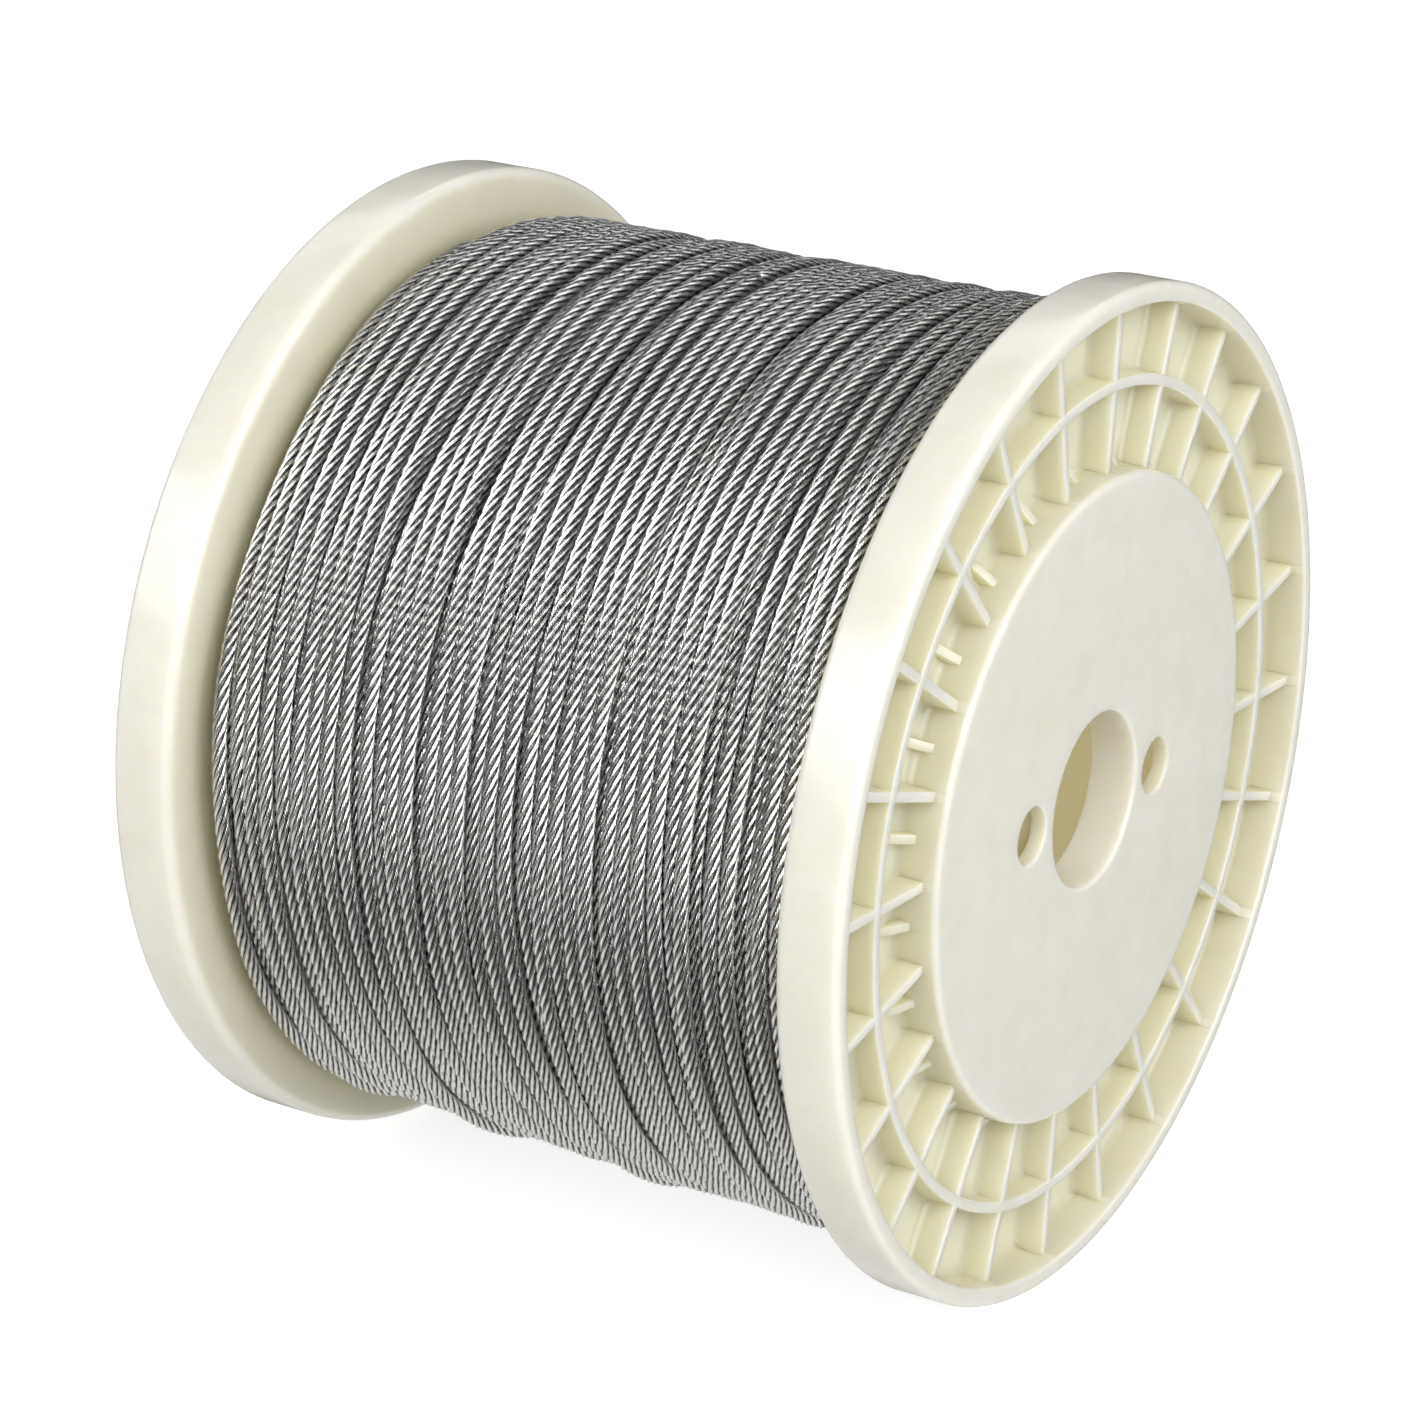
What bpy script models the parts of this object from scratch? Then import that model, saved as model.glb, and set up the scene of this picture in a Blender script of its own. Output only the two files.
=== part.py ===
"""A reel of wire rope: two ribbed end flanges, a hidden barrel and the wound rope. Metres, +Z up."""

import math

import bmesh
import bpy
from mathutils import Matrix, Vector

for old in list(bpy.data.objects):
    bpy.data.objects.remove(old, do_unlink=True)

MM = 0.001

# Whole reel
FLANGE_RADIUS = 100.0 * MM
REEL_WIDTH = 158.4 * MM
FLANGE_WIDTH = 13.0 * MM
GAP = 0.3 * MM
ROUND_SEGMENTS = 72

# Flange moulding, depths measured inwards from its outer face
RIM_WALL = 3.9 * MM
RIM_DRAFT = 0.5 * MM
EDGE_ROUND = 0.9 * MM
CORNER_SHARE = 0.3
FLOOR_DEPTH = 8.8 * MM
RIB_DEPTH = 2.8 * MM
RING_DEPTH = 2.7 * MM
GUSSET_DEPTH = 5.1 * MM
RING_RADIUS = 80.9 * MM
RING_THICKNESS = 2.3 * MM
RIB_THICKNESS = 2.1 * MM
GUSSET_THICKNESS = 2.0 * MM
GUSSET_REACH = 5.0 * MM
RIB_COUNT = 24
RIB_ANGLE = math.radians(-5.9)
RIB_ROOT = 1.0 * MM
HUB_WALL = 2.7 * MM
DISC_THICKNESS = 3.2 * MM
COLLAR_WALL = 2.2 * MM
COLLAR_DEPTH = 10.0 * MM
BORE_RADIUS = 17.4 * MM
LIP_ROUND = 0.7 * MM
DRIVE_HOLE_RADIUS = 5.6 * MM
DRIVE_HOLE_REACH = 26.4 * MM
DRIVE_HOLE_SEGMENTS = 24
DRIVE_HOLE_TOOL = 3 * DISC_THICKNESS

# Barrel between the flanges
BARREL_RADIUS = 61.0 * MM
BARREL_WALL = 2.5 * MM
BARREL_SEGMENTS = 48

# Wound rope
ROPE_DIAMETER = 3.2 * MM
TURN_COUNT = int((REEL_WIDTH - 2 * FLANGE_WIDTH - 2 * GAP) / ROPE_DIAMETER)
GROOVE_DEPTH = 1.2 * MM
COIL_SEGMENTS = 48
COIL_FAR_RADIUS = 88.6 * MM
COIL_SHOULDER_RADIUS = 92.2 * MM
COIL_NEAR_RADIUS = 94.4 * MM
SHOULDER_TURNS = 3

POCKET_RADIUS = BARREL_RADIUS + GAP
DISC_RADIUS = POCKET_RADIUS + HUB_WALL
AXIS_HEIGHT = FLANGE_RADIUS
HALF_WIDTH = REEL_WIDTH / 2


def material(name, colour, roughness, metallic):
    """One plain finish."""
    made = bpy.data.materials.new(name)
    made.use_nodes = True
    shader = made.node_tree.nodes["Principled BSDF"]
    shader.inputs["Base Color"].default_value = (*colour, 1.0)
    shader.inputs["Roughness"].default_value = roughness
    shader.inputs["Metallic"].default_value = metallic
    return made


def add_object(name, mesh, finish=None):
    """A mesh as an object of the scene."""
    made = bpy.data.objects.new(name, mesh)
    bpy.context.scene.collection.objects.link(made)
    if finish is not None:
        mesh.materials.append(finish)
    return made


def helper(made):
    """Keeps a cutting or joining shape out of the finished part."""
    made.hide_render = True
    made.display_type = "WIRE"
    return made


def turned(name, profile, segments):
    """A closed profile of (radius, x) corners, counter-clockwise, turned round the X axis.

    The corners sit outside the true circle by so much that the flats touch it.
    """
    spread = 1.0 / math.cos(math.pi / segments)
    points = []
    for step in range(segments):
        angle = 2 * math.pi * (step + 0.5) / segments
        for radius, along in profile:
            reach = radius * spread
            points.append((along, reach * math.cos(angle), reach * math.sin(angle)))
    count = len(profile)
    faces = []
    for step in range(segments):
        following = (step + 1) % segments
        for corner in range(count):
            after = (corner + 1) % count
            faces.append((
                step * count + corner,
                following * count + corner,
                following * count + after,
                step * count + after,
            ))
    mesh = bpy.data.meshes.new(name)
    mesh.from_pydata(points, [], faces)
    return outward(mesh)


def outward(mesh):
    """Turns every face of a closed mesh outwards."""
    shape = bmesh.new()
    shape.from_mesh(mesh)
    bmesh.ops.recalc_face_normals(shape, faces=shape.faces)
    shape.to_mesh(mesh)
    shape.free()
    mesh.update()
    return mesh


def flange_profile():
    """Half section of a flange with its outer face at x = 0 and its rope face at x = -FLANGE_WIDTH."""
    rim_top = FLANGE_RADIUS - RIM_WALL
    rim_foot = rim_top - RIM_DRAFT
    ring_in = RING_RADIUS - RING_THICKNESS / 2
    ring_out = RING_RADIUS + RING_THICKNESS / 2
    round_off = EDGE_ROUND * CORNER_SHARE
    lip_off = LIP_ROUND * CORNER_SHARE
    return [
        (BORE_RADIUS, -COLLAR_DEPTH),
        (BORE_RADIUS + COLLAR_WALL, -COLLAR_DEPTH),
        (BORE_RADIUS + COLLAR_WALL, -DISC_THICKNESS),
        (POCKET_RADIUS, -DISC_THICKNESS),
        (POCKET_RADIUS, -FLANGE_WIDTH),
        (FLANGE_RADIUS - EDGE_ROUND, -FLANGE_WIDTH),
        (FLANGE_RADIUS - round_off, -FLANGE_WIDTH + round_off),
        (FLANGE_RADIUS, -FLANGE_WIDTH + EDGE_ROUND),
        (FLANGE_RADIUS, -EDGE_ROUND),
        (FLANGE_RADIUS - round_off, -round_off),
        (FLANGE_RADIUS - EDGE_ROUND, 0.0),
        (rim_top + EDGE_ROUND, 0.0),
        (rim_top, -EDGE_ROUND),
        (rim_foot, -FLOOR_DEPTH),
        (ring_out, -FLOOR_DEPTH),
        (ring_out, -RING_DEPTH),
        (ring_in, -RING_DEPTH),
        (ring_in, -FLOOR_DEPTH),
        (DISC_RADIUS, -FLOOR_DEPTH),
        (DISC_RADIUS, -EDGE_ROUND),
        (DISC_RADIUS - round_off, -round_off),
        (DISC_RADIUS - EDGE_ROUND, 0.0),
        (BORE_RADIUS + LIP_ROUND, 0.0),
        (BORE_RADIUS + lip_off, -lip_off),
        (BORE_RADIUS, -LIP_ROUND),
    ]


def rib_tool():
    """All ribs and gussets of one flange, as separate bodies in one mesh."""
    shape = bmesh.new()
    pitch = 2 * math.pi / RIB_COUNT
    for index in range(RIB_COUNT):
        angle = RIB_ANGLE + index * pitch
        add_blade(shape, angle, rib_outline(), RIB_THICKNESS)
        add_blade(shape, angle + pitch / 2, gusset_outline(), GUSSET_THICKNESS)
    mesh = bpy.data.meshes.new("ribs")
    shape.to_mesh(mesh)
    shape.free()
    return outward(mesh)


def rib_outline():
    """Corners (radius, x) of a rib, which runs from the disc through the ring to the rim."""
    start = DISC_RADIUS - RIB_ROOT
    end = FLANGE_RADIUS - RIM_WALL / 2
    foot = -FLOOR_DEPTH - RIB_ROOT
    return [(start, foot), (end, foot), (end, -RIB_DEPTH), (start, -RIB_DEPTH)]


def gusset_outline():
    """Corners (radius, x) of a gusset, a low triangle that props the disc between two ribs."""
    start = DISC_RADIUS - RIB_ROOT
    end = DISC_RADIUS + GUSSET_REACH
    foot = -FLOOR_DEPTH - RIB_ROOT
    return [
        (start, foot),
        (end, foot),
        (end, -FLOOR_DEPTH),
        (DISC_RADIUS, -GUSSET_DEPTH),
        (start, -GUSSET_DEPTH),
    ]


def add_blade(shape, angle, outline, thickness):
    """A flat body with an outline of (radius, x) corners, standing on the web at an angle."""
    turn = Matrix.Rotation(angle, 4, "X")
    sides = []
    for offset in (-thickness / 2, thickness / 2):
        sides.append([shape.verts.new(turn @ Vector((along, radius, offset))) for radius, along in outline])
    low, high = sides
    shape.faces.new(low)
    shape.faces.new(reversed(high))
    for corner in range(len(outline)):
        after = (corner + 1) % len(outline)
        shape.faces.new((low[corner], high[corner], high[after], low[after]))


def drive_holes():
    """Cutters for the two drive holes beside the bore."""
    shape = bmesh.new()
    spread = 1.0 / math.cos(math.pi / DRIVE_HOLE_SEGMENTS)
    for side in (0.0, math.pi):
        place = (
            Matrix.Rotation(RIB_ANGLE + side, 4, "X")
            @ Matrix.Translation((-DISC_THICKNESS / 2, DRIVE_HOLE_REACH, 0.0))
            @ Matrix.Rotation(math.pi / 2, 4, "Y")
        )
        bmesh.ops.create_cone(
            shape,
            cap_ends=True,
            segments=DRIVE_HOLE_SEGMENTS,
            radius1=DRIVE_HOLE_RADIUS * spread,
            radius2=DRIVE_HOLE_RADIUS * spread,
            depth=DRIVE_HOLE_TOOL,
            matrix=place,
        )
    mesh = bpy.data.meshes.new("drive_holes")
    shape.to_mesh(mesh)
    shape.free()
    return outward(mesh)


def combine(target, other, operation):
    """Applies one exact Boolean to the target."""
    modifier = target.modifiers.new(operation.lower(), "BOOLEAN")
    modifier.operation = operation
    modifier.solver = "EXACT"
    modifier.object = other


def baked(made, name):
    """The evaluated mesh of an object with its modifiers, as new mesh data."""
    bpy.context.view_layer.update()
    graph = bpy.context.evaluated_depsgraph_get()
    mesh = bpy.data.meshes.new_from_object(made.evaluated_get(graph))
    mesh.name = name
    return mesh


def flange_mesh():
    """One flange moulding in its own frame."""
    blank = helper(add_object("flange_blank", turned("flange_blank", flange_profile(), ROUND_SEGMENTS)))
    ribs = helper(add_object("rib_tool", rib_tool()))
    holes = helper(add_object("hole_tool", drive_holes()))
    combine(blank, ribs, "UNION")
    combine(blank, holes, "DIFFERENCE")
    mesh = baked(blank, "flange")
    for used in (blank, ribs, holes):
        bpy.data.objects.remove(used, do_unlink=True)
    mesh.materials.clear()
    return mesh


def coil_radius(turn):
    """Outer radius of the wound rope over one turn, counted from the far flange."""
    if turn < SHOULDER_TURNS:
        share = math.sin(math.pi / 2 * turn / SHOULDER_TURNS)
        return COIL_FAR_RADIUS + (COIL_SHOULDER_RADIUS - COIL_FAR_RADIUS) * share
    share = (turn - SHOULDER_TURNS) / (TURN_COUNT - 1 - SHOULDER_TURNS)
    return COIL_SHOULDER_RADIUS + (COIL_NEAR_RADIUS - COIL_SHOULDER_RADIUS) * share


def coil_profile():
    """Half section of the wound rope with one ridge for each turn."""
    far_end = -HALF_WIDTH + FLANGE_WIDTH + GAP
    near_end = -far_end
    pitch = (near_end - far_end) / TURN_COUNT
    bore = BARREL_RADIUS + GAP
    corners = [(bore, far_end), (coil_radius(0) - GROOVE_DEPTH, far_end)]
    for turn in range(TURN_COUNT):
        corners.append((coil_radius(turn), far_end + (turn + 0.5) * pitch))
        valley = min(coil_radius(turn), coil_radius(min(turn + 1, TURN_COUNT - 1))) - GROOVE_DEPTH
        corners.append((valley, far_end + (turn + 1) * pitch))
    corners.append((bore, near_end))
    return corners


def barrel_profile():
    """Half section of the hidden tube that seats in both flanges."""
    end = HALF_WIDTH - DISC_THICKNESS - GAP
    inner = BARREL_RADIUS - BARREL_WALL
    return [(inner, -end), (BARREL_RADIUS, -end), (BARREL_RADIUS, end), (inner, end)]


def place(made, matrix):
    """Moves the mesh itself, so that the object keeps a plain transform."""
    made.data.transform(Matrix.Translation((0.0, 0.0, AXIS_HEIGHT)) @ matrix)
    made.data.update()


def finish_shading(made):
    """Smooth faces with sharp edges kept."""
    made.data.shade_smooth()
    made.data.set_sharp_from_angle(angle=math.radians(32))


def build():
    """Makes the four nodes."""
    ivory = (0.76, 0.72, 0.56)
    near_finish = material("moulded_ivory_plastic_near", ivory, 0.28, 0.0)
    far_finish = material("moulded_ivory_plastic_far", ivory, 0.28, 0.0)
    barrel_finish = material("moulded_ivory_plastic_barrel", ivory, 0.35, 0.0)
    rope_finish = material("drawn_stainless_wire", (0.50, 0.50, 0.49), 0.32, 1.0)
    near = flange_mesh()
    far = near.copy()
    flange_near = add_object("flange_near", near, near_finish)
    place(flange_near, Matrix.Translation((HALF_WIDTH, 0.0, 0.0)))
    flange_far = add_object("flange_far", far, far_finish)
    place(flange_far, Matrix.Rotation(math.pi, 4, "Z") @ Matrix.Translation((HALF_WIDTH, 0.0, 0.0)))
    barrel = add_object("barrel", turned("barrel", barrel_profile(), BARREL_SEGMENTS), barrel_finish)
    place(barrel, Matrix.Identity(4))
    coil = add_object("wire_rope", turned("wire_rope", coil_profile(), COIL_SEGMENTS), rope_finish)
    place(coil, Matrix.Identity(4))
    for made in (flange_near, flange_far, barrel, coil):
        finish_shading(made)


build()
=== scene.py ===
"""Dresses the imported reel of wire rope: two moulded flanges, the barrel, the wound rope and the studio."""

import logging
import math
from dataclasses import dataclass, field
from enum import Enum
from typing import Iterable, Sequence

import bmesh
import bpy
import numpy as np
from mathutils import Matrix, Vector, geometry


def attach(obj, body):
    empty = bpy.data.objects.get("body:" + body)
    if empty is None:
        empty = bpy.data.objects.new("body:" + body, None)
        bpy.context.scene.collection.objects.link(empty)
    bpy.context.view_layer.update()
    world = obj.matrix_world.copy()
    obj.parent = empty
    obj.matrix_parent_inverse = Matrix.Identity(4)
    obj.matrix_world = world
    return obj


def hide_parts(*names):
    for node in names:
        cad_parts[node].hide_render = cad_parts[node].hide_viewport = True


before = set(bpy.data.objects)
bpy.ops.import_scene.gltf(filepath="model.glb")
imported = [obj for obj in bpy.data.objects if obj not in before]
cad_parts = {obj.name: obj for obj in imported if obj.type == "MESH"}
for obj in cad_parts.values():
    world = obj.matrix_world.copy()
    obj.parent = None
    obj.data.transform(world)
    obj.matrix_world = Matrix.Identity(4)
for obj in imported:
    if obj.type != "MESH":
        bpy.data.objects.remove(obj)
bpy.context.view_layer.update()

log = logging.getLogger("reel_of_wire_rope")

MM = 0.001
TURN = 2 * math.pi
BODY = "root"
ROPE_UV = "rope_lay"
EPSILON = 1e-6
TOUCH = 1e-9

# Sizes that the flanges and the rope share, in millimetres
FLANGE_RADIUS = 100.0
HALF_WIDTH = 79.2
FLANGE_WIDTH = 13.0
AXIS_HEIGHT = FLANGE_RADIUS
POCKET_RADIUS = 61.3

# Make of the rope, in millimetres: the lay is the length in which a strand winds round it once
ROPE_DIAMETER = 3.2
STRANDS = 6
LAY = 18.0


class Side(Enum):
    """Which end of the reel a flange closes."""

    NEAR = 1
    FAR = -1


class Blade(Enum):
    """What stands on the web of a flange at one angle."""

    NONE = 0
    RIB = 1
    GUSSET = 2


# Small helpers


def linear(code: str, alpha: float = 1.0) -> tuple[float, float, float, float]:
    """Turns an sRGB hex colour into linear values.

    Args:
        code: Six hex digits, with or without a leading hash.
        alpha: Opacity to append.

    Returns:
        Red, green, blue and alpha.
    """
    digits = code.lstrip("#")
    shares = [int(digits[at:at + 2], 16) / 255 for at in (0, 2, 4)]
    red, green, blue = (s / 12.92 if s <= 0.04045 else ((s + 0.055) / 1.055) ** 2.4 for s in shares)
    return red, green, blue, alpha


def add_node(tree: bpy.types.NodeTree, kind: str, settings: dict | None = None,
             inputs: dict | None = None) -> bpy.types.Node:
    """Adds one shader node.

    Args:
        tree: Node tree of the material or world.
        kind: Blender's name of the node type.
        settings: Attributes of the node and their values.
        inputs: Values, or (node, output) pairs to link, by input name or number.

    Returns:
        The new node.
    """
    node = tree.nodes.new(kind)
    for name, value in (settings or {}).items():
        setattr(node, name, value)
    for name, value in (inputs or {}).items():
        if isinstance(value, tuple) and isinstance(value[0], bpy.types.Node):
            tree.links.new(value[0].outputs[value[1]], node.inputs[name])
        else:
            node.inputs[name].default_value = value
    return node


def blank_material(name: str) -> tuple[bpy.types.Material, bpy.types.NodeTree]:
    """Makes an empty node material.

    Args:
        name: Name of the finish.

    Returns:
        The material and its node tree.
    """
    made = bpy.data.materials.new(name)
    made.use_nodes = True
    made.node_tree.nodes.clear()
    return made, made.node_tree


def add_object(name: str, mesh: bpy.types.Mesh) -> bpy.types.Object:
    """Links a mesh to the scene.

    Args:
        name: Name of the piece.
        mesh: Its mesh, already in place.

    Returns:
        The new object.
    """
    made = bpy.data.objects.new(name, mesh)
    bpy.context.scene.collection.objects.link(made)
    return made


def outward(mesh: bpy.types.Mesh) -> None:
    """Turns every face of a closed mesh outwards."""
    shape = bmesh.new()
    shape.from_mesh(mesh)
    bmesh.ops.recalc_face_normals(shape, faces=shape.faces)
    shape.to_mesh(mesh)
    shape.free()


def dress(piece: bpy.types.Object, finish: bpy.types.Material, node: str) -> None:
    """Gives a piece its finish and its body, and hides the CAD node that it replaces.

    Args:
        piece: The piece.
        finish: Its material.
        node: CAD node that it replaces.
    """
    piece.data.materials.clear()
    piece.data.materials.append(finish)
    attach(piece, BODY)
    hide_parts(node)
    log.info("%s: %d faces", piece.name, len(piece.data.polygons))


def arc(centre: tuple[float, float], radius: float, start: float, end: float,
        steps: int) -> list[tuple[float, float]]:
    """Points of a rounding in the half plane of radius and depth.

    Args:
        centre: Radius and depth of the middle of the rounding.
        radius: Its radius.
        start: First angle in degrees, 0 outwards from the axis and 90 out of the flange.
        end: Last angle in degrees.
        steps: Number of pieces that it is cut in.

    Returns:
        The points, both ends included.
    """
    points = []
    for step in range(steps + 1):
        angle = math.radians(start + (end - start) * step / steps)
        points.append((centre[0] + radius * math.cos(angle), centre[1] + radius * math.sin(angle)))
    return points


# Finishes


@dataclass(frozen=True)
class MouldedIvoryPlastic:
    """Injection moulded ABS, left in its own ivory colour.

    The polished mould gives it an even gloss, with shallow sinks and faint flow marks. Light enters it a few
    millimetres, so thin ribs look soft. Deep pockets get painted shade: an ambient occlusion mask mixes in a
    darker, more yellow colour, which stands partly for light scattered through the walls. A thin wall with
    light behind it glows olive, and that glow is painted light, an emission of the surface itself.
    """

    colour: str = "#e7e5dc"
    flow_colour: str = "#e3e0d5"
    # Painted shade: pockets, recesses and the face beside the rope are mixed towards this darker colour by
    # ambient occlusion
    pocket_shade_colour: str = "#d0ccaa"
    pocket_shade_mm: float = 17.0
    pocket_shade_openness: tuple[float, float] = (0.25, 0.9)
    roughness: float = 0.18
    roughness_play: tuple[float, float] = (-0.03, 0.05)
    ior: float = 1.54
    scatter_mm: float = 6.0
    scatter_share: float = 1.0
    scatter_reach: tuple[float, float, float] = (1.0, 0.9, 0.66)
    # Painted glow: the surface emits this colour of its own, at the strength below
    painted_glow_colour: str = "#b8ac83"
    painted_glow_strength: float = 0.0
    sink_mm: float = 38.0
    sink_depth_mm: float = 0.35
    flow_mm: float = 9.0
    flow_edges: tuple[float, float] = (0.32, 0.68)
    skin_mm: float = 0.9
    skin_depth_mm: float = 0.02

    def build(self, name: str) -> bpy.types.Material:
        """Makes the material.

        Args:
            name: Name of the material.

        Returns:
            The material.
        """
        made, tree = blank_material(name)
        place = add_node(tree, "ShaderNodeTexCoord")
        flow = add_node(tree, "ShaderNodeTexNoise", {"noise_dimensions": "3D"}, {
            "Vector": (place, "Object"), "Scale": 1 / (self.flow_mm * MM), "Detail": 3.0, "Roughness": 0.55,
            "Distortion": 0.6,
        })
        tone = add_node(tree, "ShaderNodeValToRGB", None, {"Fac": (flow, "Fac")})
        colours = (self.flow_colour, self.colour)
        for stop, edge, colour in zip(tone.color_ramp.elements, self.flow_edges, colours):
            stop.position = edge
            stop.color = linear(colour)
        # Painted shade: ambient occlusion mixes the darker pocket colour into recesses, pockets and corners
        open_air = add_node(tree, "ShaderNodeAmbientOcclusion", {"samples": 2}, {
            "Distance": self.pocket_shade_mm * MM,
        })
        lit = add_node(tree, "ShaderNodeMapRange", {"interpolation_type": "SMOOTHSTEP"}, {
            "Value": (open_air, "AO"),
            "From Min": self.pocket_shade_openness[0], "From Max": self.pocket_shade_openness[1],
        })
        depth = add_node(tree, "ShaderNodeMix", {"data_type": "RGBA"}, {
            "Factor": (lit, "Result"), 6: linear(self.pocket_shade_colour), 7: (tone, "Color"),
        })
        sink = add_node(tree, "ShaderNodeTexNoise", None, {
            "Vector": (place, "Object"), "Scale": 1 / (self.sink_mm * MM), "Detail": 1.0,
        })
        sink_bump = add_node(tree, "ShaderNodeBump", None, {
            "Strength": 0.5, "Distance": self.sink_depth_mm * MM, "Height": (sink, "Fac"),
        })
        skin = add_node(tree, "ShaderNodeTexNoise", None, {
            "Vector": (place, "Object"), "Scale": 1 / (self.skin_mm * MM), "Detail": 2.0,
        })
        skin_bump = add_node(tree, "ShaderNodeBump", None, {
            "Strength": 0.12, "Distance": self.skin_depth_mm * MM, "Height": (skin, "Fac"),
            "Normal": (sink_bump, "Normal"),
        })
        gloss = add_node(tree, "ShaderNodeMapRange", None, {
            "Value": (flow, "Fac"), "From Min": 0.3, "From Max": 0.7,
            "To Min": self.roughness + self.roughness_play[0],
            "To Max": self.roughness + self.roughness_play[1],
        })
        shader = add_node(tree, "ShaderNodeBsdfPrincipled", {"subsurface_method": "RANDOM_WALK"}, {
            "Base Color": (depth, 2), "Roughness": (gloss, "Result"), "IOR": self.ior,
            "Subsurface Weight": self.scatter_share, "Subsurface Radius": self.scatter_reach,
            "Subsurface Scale": self.scatter_mm * MM, "Normal": (skin_bump, "Normal"),
            # Painted glow: the surface emits light of its own where the glow strength is above zero
            "Emission Color": linear(self.painted_glow_colour), "Emission Strength": self.painted_glow_strength,
        })
        add_node(tree, "ShaderNodeOutputMaterial", None, {"Surface": (shader, "BSDF")})
        return made


@dataclass(frozen=True)
class DrawnStainlessRope:
    """Stainless steel wire, drawn through dies and stranded 7x7 with a right-hand lay.

    Drawing leaves each wire bright and slightly streaked, so crests flash white. The crevices between the
    strands are painted near black, partly as grease and partly as painted shade where the shallow relief
    casts too little shade of its own.
    """

    colour: str = "#efeeec"
    # Crevice colour: partly grease, partly painted shade between the strands
    crevice_grease_and_shade: str = "#292928"
    roughness: float = 0.25
    wires_round: int = 26
    wire_lean: float = 0.6
    crevice_shade_edges: tuple[float, float] = (0.05, 0.6)
    strand_relief_mm: float = 0.44
    wire_relief_mm: float = 0.05

    def build(self, name: str) -> bpy.types.Material:
        """Makes the material.

        Args:
            name: Name of the material.

        Returns:
            The material.
        """
        made, tree = blank_material(name)
        uv = add_node(tree, "ShaderNodeUVMap", {"uv_map": ROPE_UV})
        axes = add_node(tree, "ShaderNodeSeparateXYZ", None, {"Vector": (uv, "UV")})
        # Share of a strand across the rope, which winds round it once in each lay
        twist = add_node(tree, "ShaderNodeMath", {"operation": "MULTIPLY"}, {
            0: (axes, "X"), 1: -STRANDS / (LAY * MM),
        })
        across = add_node(tree, "ShaderNodeMath", {"operation": "MULTIPLY_ADD"}, {
            0: (axes, "Y"), 1: float(STRANDS), 2: (twist, "Value"),
        })
        strand = self.ridges(tree, across)
        # Outer wires lie almost along the rope, because they are stranded the other way round
        lean = add_node(tree, "ShaderNodeMath", {"operation": "MULTIPLY"}, {
            0: (axes, "X"), 1: self.wire_lean / (LAY * MM),
        })
        round_rope = add_node(tree, "ShaderNodeMath", {"operation": "MULTIPLY_ADD"}, {
            0: (axes, "Y"), 1: float(self.wires_round), 2: (lean, "Value"),
        })
        wire = self.ridges(tree, round_rope)
        strand_bump = add_node(tree, "ShaderNodeBump", None, {
            "Strength": 1.0, "Distance": self.strand_relief_mm * MM, "Height": (strand, "Value"),
        })
        wire_bump = add_node(tree, "ShaderNodeBump", None, {
            "Strength": 1.0, "Distance": self.wire_relief_mm * MM, "Height": (wire, "Value"),
            "Normal": (strand_bump, "Normal"),
        })
        # Painted shade with some grease: the colour darkens to the crevice colour in the valleys between
        # strands
        depth = add_node(tree, "ShaderNodeMapRange", {"interpolation_type": "SMOOTHSTEP"}, {
            "Value": (strand, "Value"), "From Min": self.crevice_shade_edges[0], "From Max": self.crevice_shade_edges[1],
        })
        tone = add_node(tree, "ShaderNodeMix", {"data_type": "RGBA"}, {
            "Factor": (depth, "Result"), 6: linear(self.crevice_grease_and_shade), 7: linear(self.colour),
        })
        shader = add_node(tree, "ShaderNodeBsdfPrincipled", None, {
            "Base Color": (tone, 2), "Metallic": 1.0, "Roughness": self.roughness,
            "Normal": (wire_bump, "Normal"),
        })
        add_node(tree, "ShaderNodeOutputMaterial", None, {"Surface": (shader, "BSDF")})
        return made

    @staticmethod
    def ridges(tree: bpy.types.NodeTree, source: bpy.types.Node) -> bpy.types.Node:
        """Rounded ridges with sharp valleys, one for each whole number.

        Args:
            tree: Node tree.
            source: Node whose Value gives the position.

        Returns:
            A node whose Value is 1 on the crests and 0 in the valleys.
        """
        angle = add_node(tree, "ShaderNodeMath", {"operation": "MULTIPLY"}, {
            0: (source, "Value"), 1: math.pi,
        })
        wave = add_node(tree, "ShaderNodeMath", {"operation": "COSINE"}, {0: (angle, "Value")})
        return add_node(tree, "ShaderNodeMath", {"operation": "ABSOLUTE"}, {0: (wave, "Value")})


@dataclass(frozen=True)
class BacklitFloor:
    """Matt white acrylic sheet lit from below, so it stays white and takes only a faint shadow."""

    colour: str = "#a6a6a4"
    glow: str = "#ffffff"
    glow_strength: float = 0.78
    roughness: float = 0.9

    def build(self, name: str) -> bpy.types.Material:
        """Makes the material.

        Args:
            name: Name of the material.

        Returns:
            The material.
        """
        made, tree = blank_material(name)
        shader = add_node(tree, "ShaderNodeBsdfPrincipled", None, {
            "Base Color": linear(self.colour), "Roughness": self.roughness, "Specular IOR Level": 0.1,
            "Emission Color": linear(self.glow), "Emission Strength": self.glow_strength,
        })
        add_node(tree, "ShaderNodeOutputMaterial", None, {"Surface": (shader, "BSDF")})
        return made


# Flanges


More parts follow.
